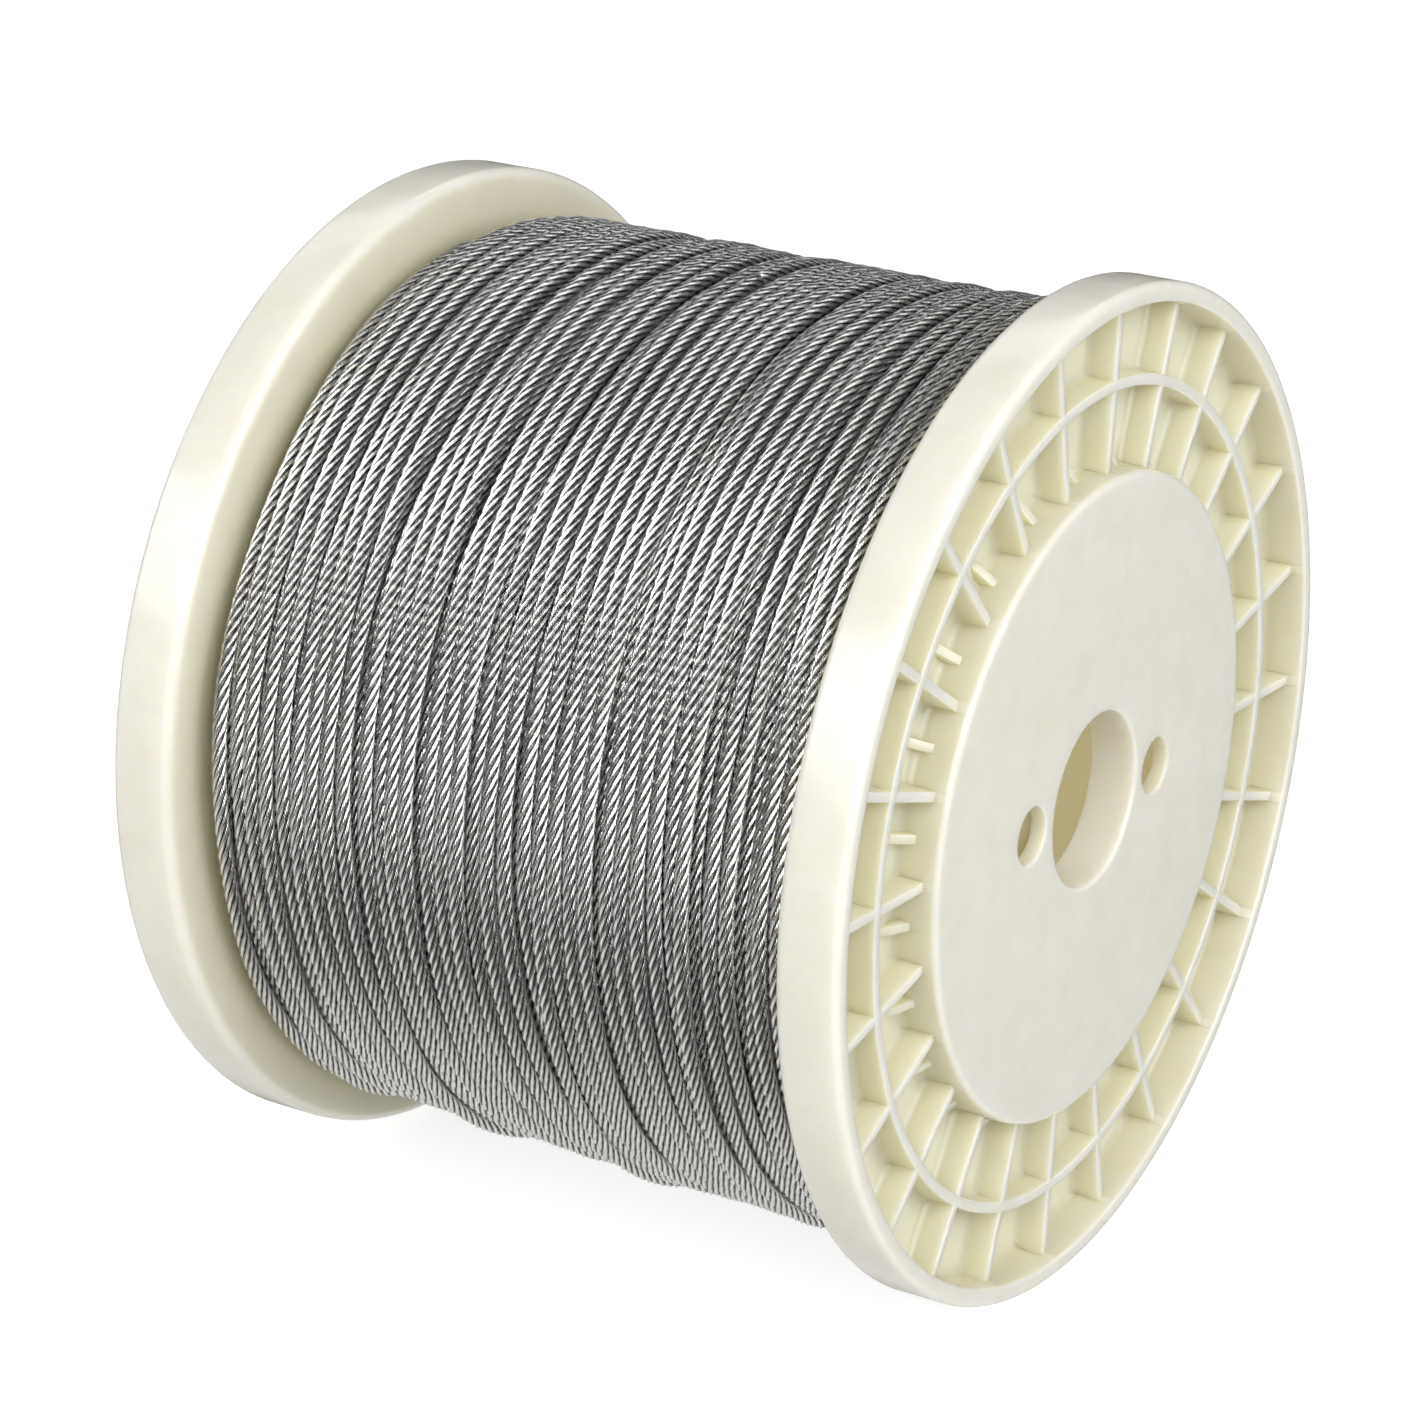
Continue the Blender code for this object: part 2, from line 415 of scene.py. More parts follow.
@dataclass
class Flange:
    """One end flange: rim, web, ring rib, radial ribs, flush disc, bore with collar and two drive holes.

    Depths are negative, measured from the outer face into the reel. All sizes are in millimetres.
    """

    side: Side
    node: str
    finish: bpy.types.Material
    radius: float = FLANGE_RADIUS
    width: float = FLANGE_WIDTH
    floor: float = -8.8
    rim_top: float = 96.1
    rim_foot: float = 95.6
    rim_inner_round: float = 0.6
    rim_outer_round: float = 1.4
    rope_side_round: float = 2.0
    foot_round: float = 1.6
    crest_round: float = 0.3
    ring_radius: float = 80.9
    ring_half: float = 1.1
    ring_foot_half: float = 1.25
    ring_top: float = -2.7
    rib_top: float = -2.8
    gusset_top: float = -5.1
    gusset_reach: float = 5.0
    rib_count: int = 24
    rib_angle: float = math.radians(-5.9)
    disc_radius: float = 64.0
    disc_round: float = 1.2
    disc_under: float = -3.2
    bore_radius: float = 17.4
    collar_radius: float = 19.6
    collar_end: float = -10.0
    lip_round: float = 0.7
    hole_radius: float = 5.6
    hole_reach: float = 26.4
    hole_lip: float = 0.55
    wall_draft: float = 0.18
    channel_row: float = 74.5
    pocket_row: float = 89.0
    edge_strip: float = 0.9
    hidden_chamfer: float = 0.4
    sharp_degrees: float = 40.0
    bore_segments: int = 96
    hole_segments: int = 48
    rib_section: Sequence[tuple[float, float]] = (
        (0.0, 0.0), (0.72, 0.0), (0.92, -0.09), (1.0, -0.32), (1.14, -4.5), (1.22, -5.05), (1.48, -5.52),
        (1.95, -5.85), (2.7, -6.0),
    )
    gusset_section: Sequence[tuple[float, float]] = (
        (0.0, 0.0), (0.62, 0.0), (0.84, -0.10), (0.92, -0.34), (1.04, -2.6), (1.18, -3.1), (1.5, -3.5),
        (2.2, -3.7),
    )
    points: list[tuple[float, float, float]] = field(default_factory=list)
    faces: list[tuple[int, ...]] = field(default_factory=list)

    def rows(self) -> list[tuple[float, float]]:
        """Turned section of the ribbed face, from the disc's edge over the rim to the rope side.

        Returns:
            Radius and depth of each row.
        """
        edge = self.disc_radius - self.disc_round
        foot = self.foot_round
        low = self.floor + foot
        inner, outer = self.ring_radius - self.ring_half, self.ring_radius + self.ring_half
        inner_foot = self.ring_radius - self.ring_foot_half
        outer_foot = self.ring_radius + self.ring_foot_half
        crest = self.crest_round
        wall = self.disc_radius + self.wall_draft
        rim_in = self.rim_top + self.rim_inner_round
        rim_out = self.radius - self.rim_outer_round
        back = self.radius - self.rope_side_round
        rows = [(edge - self.edge_strip, 0.0)]
        rows += arc((edge, -self.disc_round), self.disc_round, 90, 3, 5)
        rows += arc((wall + foot, low), foot, 180, 270, 4)
        rows += [(self.disc_radius + self.gusset_reach * step / 4, self.floor) for step in (2, 3, 4)]
        rows += [(self.channel_row, self.floor)]
        rows += arc((inner_foot - foot, low), foot, 270, 357, 4)
        rows += arc((inner + crest, self.ring_top - crest), crest, 180, 90, 3)
        rows += arc((outer - crest, self.ring_top - crest), crest, 90, 0, 3)
        rows += arc((outer_foot + foot, low), foot, 183, 270, 4)
        rows += [(self.pocket_row, self.floor)]
        rows += arc((self.rim_foot - foot, low), foot, 270, 357, 4)
        rows += arc((rim_in, -self.rim_inner_round), self.rim_inner_round, 177, 90, 4)
        rows += arc((rim_out, -self.rim_outer_round), self.rim_outer_round, 90, 0, 6)
        rows += [(self.radius, -self.width / 2)]
        rows += arc((back, self.rope_side_round - self.width), self.rope_side_round, 0, -90, 6)
        rows += [(back - self.edge_strip, -self.width)]
        return rows

    def columns(self) -> list[tuple[float, float, float, Blade]]:
        """Angular columns of one sector, from one rib over the gusset to the next rib.

        Returns:
            Share of the sector, offset from it in millimetres, drop below the crest of the blade there, and
            the kind of blade.
        """
        left_web, right_web = (0.25, 0.0, 0.0, Blade.NONE), (0.75, 0.0, 0.0, Blade.NONE)
        rib = [(0.0, offset, drop, Blade.RIB) for offset, drop in self.rib_section]
        gusset = [(0.5, offset, drop, Blade.GUSSET) for offset, drop in self.gusset_section]
        gusset_left = [(share, -offset, drop, kind) for share, offset, drop, kind in reversed(gusset[1:])]
        rib_left = [(1.0, -offset, drop, kind) for _, offset, drop, kind in reversed(rib[1:])]
        return [*rib, left_web, *gusset_left, *gusset, right_web, *rib_left]

    def crest(self, kind: Blade, radius: float) -> float:
        """Depth of the crest of a blade.

        Args:
            kind: The kind of blade.
            radius: Distance from the axis.

        Returns:
            Its depth, below the floor where the blade has ended.
        """
        if kind is Blade.RIB:
            return self.rib_top
        if kind is Blade.GUSSET:
            slope = (self.gusset_top - self.floor) / self.gusset_reach
            return self.gusset_top - slope * (radius - self.disc_radius)
        return self.floor

    def ring(self, radius: float, depth: float, count: int,
             centre: tuple[float, float] = (0.0, 0.0)) -> list[int]:
        """Adds a circle of points.

        Args:
            radius: Radius of the circle.
            depth: Its depth.
            count: Number of points.
            centre: Middle of the circle in the plane of the flange.

        Returns:
            Numbers of the points.
        """
        first = len(self.points)
        for step in range(count):
            angle = TURN * step / count
            across, up = centre[0] + radius * math.cos(angle), centre[1] + radius * math.sin(angle)
            self.points.append((depth, across, up))
        return list(range(first, first + count))

    def join(self, ring_a: list[int], ring_b: list[int]) -> None:
        """Joins two rings of as many points with quads."""
        count = len(ring_a)
        for step in range(count):
            after = (step + 1) % count
            self.faces.append((ring_a[step], ring_a[after], ring_b[after], ring_b[step]))

    def plate(self, outline: list[int], holes: Iterable[list[int]]) -> None:
        """Fills a flat face with holes.

        Args:
            outline: Point numbers of its outer edge.
            holes: Point numbers of each hole.
        """
        loops = [outline, *holes]
        flat = [[Vector((self.points[at][1], self.points[at][2], 0.0)) for at in loop] for loop in loops]
        numbers = [at for loop in loops for at in loop]
        for triangle in geometry.tessellate_polygon(flat):
            self.faces.append(tuple(numbers[corner] for corner in triangle))

    def ribbed_face(self) -> tuple[list[int], list[int]]:
        """Adds the ribbed face with the rim as one grid that follows the ribs.

        Returns:
            Point numbers of its first and of its last row.
        """
        sector = TURN / self.rib_count
        columns = self.columns()
        rings = []
        for radius, depth in self.rows():
            first = len(self.points)
            on_web = self.disc_radius - self.disc_round < radius < self.rim_top + EPSILON
            on_web = on_web and depth > self.floor - EPSILON
            for index in range(self.rib_count):
                for share, offset, drop, kind in columns:
                    angle = self.rib_angle + (index + share) * sector + math.asin(offset / radius)
                    height = max(depth, self.crest(kind, radius) + drop) if on_web else depth
                    self.points.append((height, radius * math.cos(angle), radius * math.sin(angle)))
            rings.append(list(range(first, len(self.points))))
        for ring_a, ring_b in zip(rings, rings[1:]):
            self.join(ring_a, ring_b)
        return rings[0], rings[-1]

    def hole_rows(self) -> list[tuple[float, float]]:
        """Section of a drive hole from the disc's face to its under side."""
        middle = self.hole_radius + self.hole_lip
        rows = [(middle + self.hidden_chamfer, 0.0)]
        rows += arc((middle, -self.hole_lip), self.hole_lip, 90, 180, 4)
        return [*rows, (self.hole_radius, self.disc_under)]

    def collar_rows(self) -> list[tuple[float, float]]:
        """Section of the bore and its collar from the disc's face to its under side."""
        middle, cut = self.bore_radius + self.lip_round, self.hidden_chamfer
        rows = [(middle + cut, 0.0)]
        rows += arc((middle, -self.lip_round), self.lip_round, 90, 180, 5)
        rows += [(self.bore_radius, self.collar_end + cut), (self.bore_radius + cut, self.collar_end)]
        rows += [(self.collar_radius - cut, self.collar_end), (self.collar_radius, self.collar_end + cut)]
        return [*rows, (self.collar_radius, self.disc_under)]

    def line(self, rings: list[list[int]]) -> None:
        """Lines an opening with the faces between its rings."""
        for ring_a, ring_b in zip(rings, rings[1:]):
            self.join(ring_b, ring_a)

    def bored_disc(self, disc_edge: list[int], rope_side: list[int]) -> None:
        """Adds the disc with its bore, collar and drive holes, and the face towards the rope.

        Args:
            disc_edge: Outer edge of the disc.
            rope_side: Outer edge of the face towards the rope.
        """
        top_holes, under_holes = [], []
        for turned_by in (0.0, math.pi):
            angle = self.rib_angle + turned_by
            centre = (self.hole_reach * math.cos(angle), self.hole_reach * math.sin(angle))
            rings = [
                self.ring(radius, depth, self.hole_segments, centre) for radius, depth in self.hole_rows()
            ]
            self.line(rings)
            top_holes.append(rings[0])
            under_holes.append(rings[-1])
        rings = [self.ring(radius, depth, self.bore_segments) for radius, depth in self.collar_rows()]
        self.line(rings)
        first = len(self.points)
        for depth in (-self.width, self.disc_under):
            for at in rope_side:
                _, across, up = self.points[at]
                share = POCKET_RADIUS / math.hypot(across, up)
                self.points.append((depth, across * share, up * share))
        middle = first + len(rope_side)
        pocket_mouth = list(range(first, middle))
        pocket_floor = list(range(middle, len(self.points)))
        self.join(rope_side, pocket_mouth)
        self.join(pocket_mouth, pocket_floor)
        self.plate(disc_edge, [rings[0], *top_holes])
        self.plate(pocket_floor, [rings[-1], *under_holes])

    def mesh(self) -> bpy.types.Mesh:
        """Builds the flange in place on the reel.

        Returns:
            A closed mesh.
        """
        disc_edge, rope_side = self.ribbed_face()
        self.bored_disc(disc_edge, rope_side)
        turn = self.side.value
        placed = [
            (turn * (HALF_WIDTH + depth) * MM, turn * across * MM, (AXIS_HEIGHT + up) * MM)
            for depth, across, up in self.points
        ]
        mesh = bpy.data.meshes.new(f"{self.node}_moulding")
        mesh.from_pydata(placed, [], self.faces)
        outward(mesh)
        mesh.shade_smooth()
        mesh.set_sharp_from_angle(angle=math.radians(self.sharp_degrees))
        return mesh

    def build(self) -> bpy.types.Object:
        """Builds and dresses the flange.

        Returns:
            The piece.
        """
        piece = add_object(f"{self.node}_moulding", self.mesh())
        dress(piece, self.finish, self.node)
        return piece


@dataclass
class Barrel:
    """The tube under the rope, shown by its CAD node."""

    finish: bpy.types.Material
    node: str = "barrel"

    def build(self) -> bpy.types.Object:
        """Gives the CAD node its finish.

        Returns:
            The CAD node's object.
        """
        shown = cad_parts[self.node]
        for slot in shown.material_slots:
            slot.material = self.finish
        log.info("%s: CAD node with %s", self.node, self.finish.name)
        return shown


# Rope


@dataclass
class Layer:
    """One layer of the winding: where the rope's middle runs, turn by turn.

    Both arrays hold one row for each turn and one column for each step round the reel, in millimetres.
    """

    along: np.ndarray
    out: np.ndarray


@dataclass(frozen=True)
class LayerPlan:
    """How one layer is wound: its turns, its play and the room left free at both flanges, in millimetres."""

    turns: int
    drift: float
    far_room: float = 0.0
    near_room: float = 0.0


@dataclass
class Winding:
    """Lays the rope on the reel layer by layer, as a machine does with a little play, and pulls it tight.

    Each turn drifts with its neighbours and wanders by itself. It is dropped on what lies below it, and then
    the pull of the rope and the push between turns that touch bring them all to rest.
    """

    diameter: float = ROPE_DIAMETER
    half_space: float = 65.9
    bed_far: float = 82.9
    bed_near: float = 84.3
    steps: int = 192
    seed: int = 5
    rounds: int = 90
    plans: Sequence[LayerPlan] = (
        LayerPlan(38, 1.5), LayerPlan(35, 1.5), LayerPlan(35, 2.2, far_room=3.0),
    )
    wander: Sequence[tuple[float, float]] = ((0.24, 0.6), (0.8, 1.3))
    waves_along: int = 6
    waves_round: int = 3
    wave_damping: tuple[float, float, float] = (0.6, 0.35, 0.5)
    free_ends: float = 0.06
    first_lift: float = 2.9
    lift_play: float = 1.6
    pull: float = 0.10
    last_pull: float = 0.03
    pull_share: float = 0.7
    straightenings: int = 6
    partings: int = 3
    ease: float = 0.9
    neighbours: int = 8

    def lay(self) -> list[Layer]:
        """Winds all layers.

        Returns:
            The layers from the lowest to the one on top.
        """
        random = np.random.default_rng(self.seed)
        aims = [self.aim(random, plan, number % 2 == 0) for number, plan in enumerate(self.plans)]
        heights = self.drop(aims)
        sizes = [plan.turns * self.steps for plan in self.plans]
        along, out = self.relax(np.concatenate(aims), np.concatenate(heights), sizes)
        layers = []
        start = 0
        for plan, size in zip(self.plans, sizes):
            shape, own = (plan.turns, self.steps), slice(start, start + size)
            layers.append(Layer(along[own].reshape(shape), out[own].reshape(shape)))
            start += size
        return layers

    def bed(self, along: np.ndarray) -> np.ndarray:
        """Lowest radius of the rope's middle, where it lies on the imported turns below."""
        share = (along + self.half_space) / (2 * self.half_space)
        return self.bed_far + (self.bed_near - self.bed_far) * share + self.diameter / 2

    def aim(self, random: np.random.Generator, plan: LayerPlan, forward: bool) -> np.ndarray:
        """Where one layer would run along the axis if nothing were in its way.

        Args:
            random: Seeded generator.
            plan: The layer.
            forward: Whether it runs from the far to the near flange.

        Returns:
            Place along the axis for each step.
        """
        low = -self.half_space + self.diameter / 2 + plan.far_room
        high = self.half_space - self.diameter / 2 - plan.near_room
        total = plan.turns * self.steps
        share = np.arange(total) / (total - 1)
        share = share if forward else 1 - share
        angle = TURN * np.arange(total) / self.steps
        free = np.clip(np.minimum(share, 1 - share) / self.free_ends, 0, 1)
        along = low + (high - low) * share + self.drift(random, share, angle, plan.drift) * free
        for period, reach in self.wander:
            along = along + self.noise(random, total, period * self.steps, reach)
        return np.clip(along, low, high)

    def drift(self, random: np.random.Generator, share: np.ndarray, angle: np.ndarray,
              reach: float) -> np.ndarray:
        """Smooth sideways shift that neighbouring turns have in common.

        Args:
            random: Seeded generator.
            share: Place along the reel from 0 to 1.
            angle: Angle round the reel.
            reach: Size of the shift in millimetres.

        Returns:
            The shift for each step.
        """
        total, power = 0.0, 0.0
        least, by_along, by_round = self.wave_damping
        for wave_along in range(self.waves_along):
            for wave_round in range(1, self.waves_round + 1):
                weight = random.normal() / (least + wave_along * by_along + (wave_round - 1) * by_round)
                phase_along, phase_round = random.uniform(0, TURN, 2)
                wave = np.cos(math.pi * wave_along * share + phase_along)
                total = total + weight * wave * np.cos(wave_round * angle + phase_round)
                power += weight ** 2
        return reach * total / math.sqrt(power / 4)

    @staticmethod
    def noise(random: np.random.Generator, total: int, period: float, reach: float) -> np.ndarray:
        """Smooth random wander of one turn by itself.

        Args:
            random: Seeded generator.
            total: Number of steps.
            period: Steps between two random values.
            reach: Standard deviation in millimetres.

        Returns:
            One value for each step.
        """
        values = random.normal(size=int(total / period) + 4)
        at = np.arange(total) / period
        cell = at.astype(int)
        part = at - cell
        part = part * part * (3 - 2 * part)
        return reach * (values[cell] * (1 - part) + values[cell + 1] * part)

    def drop(self, aims: list[np.ndarray]) -> list[np.ndarray]:
        """Drops each turn on the ones laid before it.

        Args:
            aims: Place along the axis of each layer, step by step.

        Returns:
            Radius of the rope's middle for each layer, step by step.
        """
        laid_x = np.zeros((self.steps, 0))
        laid_r = np.zeros((self.steps, 0))
        heights = []
        for number, aimed in enumerate(aims):
            rows = aimed.reshape(-1, self.steps)
            layer = np.zeros_like(rows)
            for turn, middle in enumerate(rows):
                floor = self.bed(middle)
                height = floor
                if laid_x.shape[1]:
                    apart = np.abs(laid_x - middle[:, None])
                    over = laid_r + np.sqrt(np.maximum(self.diameter ** 2 - apart ** 2, 0.0))
                    height = np.maximum(height, np.where(apart < self.diameter, over, 0.0).max(axis=1))
                height = np.minimum(height, floor + number * self.first_lift + self.lift_play)
                layer[turn] = height
                laid_x = np.column_stack((laid_x, middle))
                laid_r = np.column_stack((laid_r, height))
            heights.append(layer.ravel())
        return heights

    def relax(self, along: np.ndarray, out: np.ndarray, sizes: list[int]) -> tuple[np.ndarray, np.ndarray]:
        """Pulls the rope tight, keeps it smooth and parts the turns that overlap.

        Args:
            along: Place along the axis of all steps of all layers.
            out: Radius of the same steps.
            sizes: Number of steps of each layer.

        Returns:
            Both, at rest.
        """
        low, high = -self.half_space + self.diameter / 2, self.half_space - self.diameter / 2
        edges = np.cumsum([0, *sizes])
        for number in range(self.rounds):
            out = out - (self.pull if number < self.rounds * self.pull_share else self.last_pull)
            for _ in range(self.straightenings):
                along, out = self.straighten(along, edges), self.straighten(out, edges)
            for _ in range(self.partings):
                along, out = self.part(along, out)
                along = np.clip(along, low, high)
                out = np.maximum(out, self.bed(along))
        return along, out

    def straighten(self, values: np.ndarray, edges: np.ndarray) -> np.ndarray:
        """Moves each step of the rope towards the middle of its two neighbours."""
        result = values.copy()
        for start, end in zip(edges, edges[1:]):
            own = values[start:end]
            padded = np.concatenate((own[:1], own, own[-1:]))
            result[start:end] = own + self.ease * (0.5 * (padded[:-2] + padded[2:]) - own)
        return result

    def part(self, along: np.ndarray, out: np.ndarray) -> tuple[np.ndarray, np.ndarray]:
        """Pushes apart the turns that are closer than one rope at the same angle.

        Args:
            along: Place along the axis of all steps.
            out: Radius of the same steps.

        Returns:
            Both, pushed.
        """
        columns_x, columns_r = along.reshape(-1, self.steps).T, out.reshape(-1, self.steps).T
        order = np.argsort(columns_x, axis=1)
        x = np.take_along_axis(columns_x, order, 1)
        r = np.take_along_axis(columns_r, order, 1)
        push_x, push_r, touched = np.zeros_like(x), np.zeros_like(r), np.zeros_like(x)
        for gap in range(1, self.neighbours + 1):
            apart_x, apart_r = x[:, gap:] - x[:, :-gap], r[:, gap:] - r[:, :-gap]
            distance = np.sqrt(apart_x ** 2 + apart_r ** 2) + TOUCH
            share = 0.5 * np.maximum(self.diameter - distance, 0.0) / distance
            for push, apart in ((push_x, apart_x), (push_r, apart_r)):
                push[:, gap:] += share * apart
                push[:, :-gap] -= share * apart
            hit = share > 0
            touched[:, gap:] += hit
            touched[:, :-gap] += hit
        ease = self.ease / np.sqrt(np.maximum(touched, 1))
        back = np.argsort(order, axis=1)
        x = np.take_along_axis(x + push_x * ease, back, 1)
        r = np.take_along_axis(r + push_r * ease, back, 1)
        return x.T.ravel(), r.T.ravel()


@dataclass(frozen=True)
class LayerMesh:
    """How finely one layer is drawn and in how many pieces: step in millimetres, radii of one strand."""

    name: str
    step: float
    section: tuple[float, ...]
    pieces: int


@dataclass
class WoundRope:
    """The wire rope on the reel: six strands round a core, wound in layers."""

    finish: bpy.types.Material
    winding: Winding = field(default_factory=Winding)
    node: str = "wire_rope"
    meshes: Sequence[LayerMesh] = (
        LayerMesh("wire_rope_low_layer", 4.0, (1.6, 1.12), 1),
        LayerMesh("wire_rope_second_layer", 3.0, (1.6, 1.30, 1.30), 2),
        LayerMesh("wire_rope_top_layer", 2.2, (1.6, 1.30, 1.30), 2),
    )
    bed_segments: int = 96
    bed_ridge: float = 0.8

    def build(self) -> list[bpy.types.Object]:
        """Builds and dresses all pieces of the rope.

        Returns:
            The pieces.
        """
        made = [self.bed()]
        for layer, drawn in zip(self.winding.lay(), self.meshes):
            cuts = np.linspace(0, len(layer.along), drawn.pieces + 1).round().astype(int)
            for number, span in enumerate(zip(cuts, cuts[1:]), 1):
                name = drawn.name if drawn.pieces == 1 else f"{drawn.name}_{number}"
                made.append(self.tube(name, layer, drawn.step, drawn.section, span))
        for piece in made:
            dress(piece, self.finish, self.node)
        return made

    def bed(self) -> bpy.types.Object:
        """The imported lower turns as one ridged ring.

        Returns:
            The piece.
        """
        space = self.winding.half_space
        count = int(2 * space / self.winding.diameter)
        pitch = 2 * space / count
        crests = -space + (np.arange(count) + 0.5) * pitch
        radii = self.winding.bed(crests) - self.winding.diameter / 2
        profile = [(POCKET_RADIUS, -space), (radii[0] - self.bed_ridge, -space)]
        for crest, radius in zip(crests, radii):
            profile += [(radius, crest), (radius - self.bed_ridge, crest + pitch / 2)]
        profile.append((POCKET_RADIUS, space))
        points, faces = self.turned(profile)
        mesh = bpy.data.meshes.new("wire_rope_bed")
        mesh.from_pydata(points, [], faces)
        outward(mesh)
        layer = mesh.uv_layers.new(name=ROPE_UV)
        loops = np.empty(len(mesh.loops), dtype=np.int32)
        mesh.loops.foreach_get("vertex_index", loops)
        where = np.array(points)[loops]
        turn = np.arctan2(where[:, 2] - AXIS_HEIGHT * MM, where[:, 1])
        uv = np.column_stack((turn * radii.mean() * MM, where[:, 0] / (pitch * MM) / 2))
        layer.data.foreach_set("uv", uv.ravel())
        return add_object("wire_rope_bed", mesh)

    def turned(self, profile: list[tuple[float, float]]) -> tuple[list[tuple], list[tuple]]:
        """Turns a closed section round the reel's axis.

        Args:
            profile: Radius of each corner and its place along the axis.

        Returns:
            Points in metres, and faces.
        """
        points, faces = [], []
        size = len(profile)
        for step in range(self.bed_segments):
            angle = TURN * step / self.bed_segments
            after = (step + 1) % self.bed_segments
            for corner, (radius, along) in enumerate(profile):
                following = (corner + 1) % size
                across, up = radius * math.cos(angle), radius * math.sin(angle)
                points.append((along * MM, across * MM, (AXIS_HEIGHT + up) * MM))
                faces.append((step * size + corner, after * size + corner, after * size + following,
                              step * size + following))
        return points, faces

    def path(self, layer: Layer, step: float, span: tuple[int, int]) -> tuple[np.ndarray, np.ndarray]:
        """Middle line of the rope over some turns.

        Args:
            layer: Layer that it lies in.
            step: Length of one piece of the line.
            span: First turn, and the turn after the last.

        Returns:
            Points of the line, and the angle round the reel of each.
        """
        steps = layer.along.shape[1]
        along, out = layer.along.ravel(), layer.out.ravel()
        length = TURN * out.mean()
        rings = int(round((span[1] - span[0]) * length / step))
        first, last = span[0] * steps, min(span[1] * steps, len(along) - 1)
        at = np.linspace(first, last, rings + 1)
        angle = TURN * at / steps + math.pi / 2
        x, r = self.curve(along, at), self.curve(out, at)
        return np.column_stack((x, r * np.cos(angle), r * np.sin(angle))), angle

    @staticmethod
    def curve(values: np.ndarray, at: np.ndarray) -> np.ndarray:
        """Smooth values between even samples.

        Args:
            values: The samples.
            at: Places to read, counted in samples.

        Returns:
            Catmull-Rom values at these places.
        """
        cell = np.clip(at.astype(int), 0, len(values) - 2)
        part = at - cell
        corners = [values[np.clip(cell + shift, 0, len(values) - 1)] for shift in (-1, 0, 1, 2)]
        before, start, end, after = corners
        linear_term = (end - before) / 2
        square_term = before - 2.5 * start + 2 * end - after / 2
        cube_term = (after - before) / 2 + 1.5 * (start - end)
        return start + part * (linear_term + part * (square_term + part * cube_term))

    def tube(self, name: str, layer: Layer, step: float, section: tuple[float, ...],
             span: tuple[int, int]) -> bpy.types.Object:
        """Sweeps the stranded section along the rope.

        Args:
            name: Name of the piece.
            layer: Layer that it lies in.
            step: Length of one ring of faces.
            section: Radii of one strand, from its crest to the next.
            span: First turn, and the turn after the last.

        Returns:
            The piece, closed at both ends.
        """
        centre, angle = self.path(layer, step, span)
        stretch = np.linalg.norm(np.diff(centre, axis=0), axis=1)
        length = np.concatenate(((0.0,), np.cumsum(stretch))) + span[0] * TURN * layer.out.mean()
        away, beside = self.frames(centre, angle)
        count = STRANDS * len(section)
        radii = np.tile(section, STRANDS)
        share = (np.arange(count) / count)[None, :] + (length / LAY)[:, None]
        turn = TURN * share
        points = centre[:, None, :] + radii[None, :, None] * (
            np.cos(turn)[:, :, None] * away[:, None, :] + np.sin(turn)[:, :, None] * beside[:, None, :]
        )
        points = points.reshape(-1, 3) * MM
        points[:, 2] += AXIS_HEIGHT * MM
        return add_object(name, self.tube_mesh(name, points, length, share))

    @staticmethod
    def frames(centre: np.ndarray, angle: np.ndarray) -> tuple[np.ndarray, np.ndarray]:
        """Two directions square to the rope at each point of its middle line.

        Args:
            centre: Points of the line.
            angle: Angle round the reel of each.

        Returns:
            Directions away from the reel's axis, and beside it.
        """
        tangent = np.gradient(centre, axis=0)
        tangent /= np.linalg.norm(tangent, axis=1)[:, None]
        away = np.column_stack((np.zeros(len(angle)), np.cos(angle), np.sin(angle)))
        away -= tangent * (away * tangent).sum(axis=1)[:, None]
        away /= np.linalg.norm(away, axis=1)[:, None]
        return away, np.cross(tangent, away)

    @staticmethod
    def tube_mesh(name: str, points: np.ndarray, length: np.ndarray, share: np.ndarray) -> bpy.types.Mesh:
        """Makes a closed tube from rings of points, with the rope's lay as its texture coordinates.

        Args:
            name: Name of the mesh.
            points: All points in metres, ring by ring.
            length: Length along the rope of each ring in millimetres.
            share: Share of a turn round the rope, for each ring and each point of it.

        Returns:
            The mesh.
        """
        rings, count = share.shape
        ring, corner = np.meshgrid(np.arange(rings - 1), np.arange(count), indexing="ij")
        after = (corner + 1) % count
        quads = np.stack((
            ring * count + corner, ring * count + after, (ring + 1) * count + after,
            (ring + 1) * count + corner,
        ), axis=-1).reshape(-1, 4)
        corners = ((ring, 0), (ring, 1), (ring + 1, 1), (ring + 1, 0))
        sides = np.stack([
            np.stack((length[at], share[at, corner] + step / count), axis=-1) for at, step in corners
        ], axis=2).reshape(-1, 2)
        sides[:, 0] *= MM
        first_cap = np.arange(count)[::-1]
        last_cap = (rings - 1) * count + np.arange(count)
        mesh = bpy.data.meshes.new(name)
        mesh.vertices.add(len(points))
        mesh.vertices.foreach_set("co", points.ravel())
        mesh.loops.add(quads.size + 2 * count)
        mesh.loops.foreach_set("vertex_index", np.concatenate((quads.ravel(), first_cap, last_cap)))
        mesh.polygons.add(len(quads) + 2)
        starts = np.concatenate((np.arange(len(quads)) * 4, (quads.size, quads.size + count)))
        mesh.polygons.foreach_set("loop_start", starts)
        mesh.update(calc_edges=True)
        mesh.validate()
        lay = mesh.uv_layers.new(name=ROPE_UV)
        lay.data.foreach_set("uv", np.concatenate((sides, np.zeros((2 * count, 2)))).ravel())
        mesh.shade_smooth()
        return mesh


# Studio


